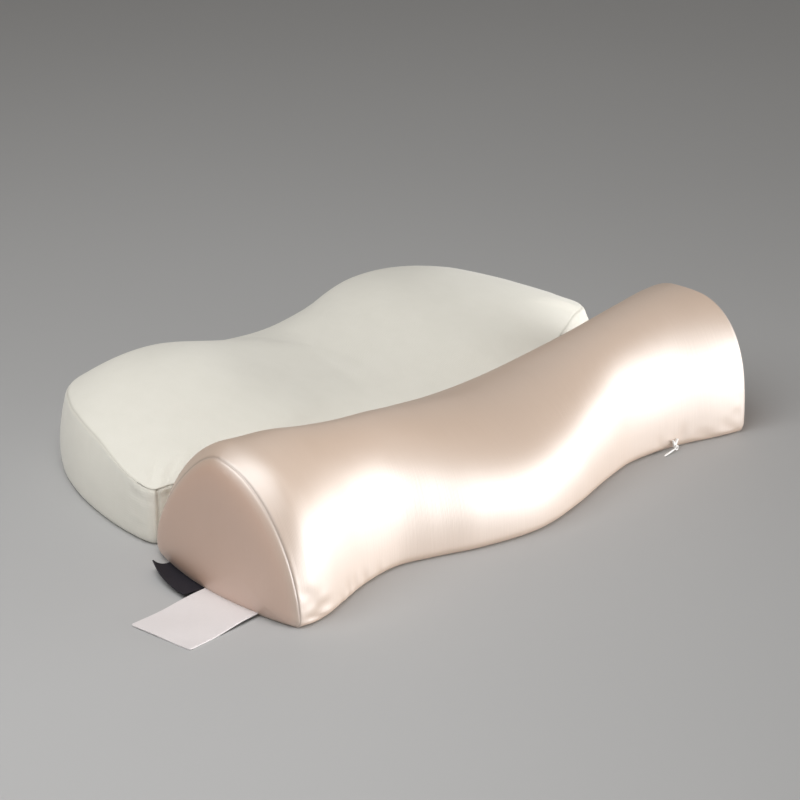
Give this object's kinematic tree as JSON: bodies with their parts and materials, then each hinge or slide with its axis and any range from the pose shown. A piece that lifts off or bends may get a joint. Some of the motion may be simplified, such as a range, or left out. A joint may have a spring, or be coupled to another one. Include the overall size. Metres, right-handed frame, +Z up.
{
  "type": "contour pillow",
  "caption": "Contour pillow in two nesting pieces: a low knit-covered head pad with raised wings and a satin neck roll with a D-shaped section and a waisted middle.",
  "frame": {"origin": "under the middle of the whole pillow, labels included, on the surface that it rests on", "axes": "+X along the neck roll, away from its labelled end; +Y from the neck roll towards the head pad; +Z up"},
  "size_m": [0.6224, 0.4092, 0.1186],
  "materials": {
    "knit_cover": "matte ivory knit",
    "satin_cover": "lustrous champagne satin",
    "dark_label": "plain black weave",
    "pale_label": "plain white weave",
    "zip_trim": "white"
  },
  "bodies": {
    "root": {"head_pad": "knit_cover", "neck_roll": "satin_cover", "woven_label": "dark_label", "care_label": "pale_label", "zip_slider": "zip_trim", "zip_pull": "zip_trim"}
  },
  "joints": []
}
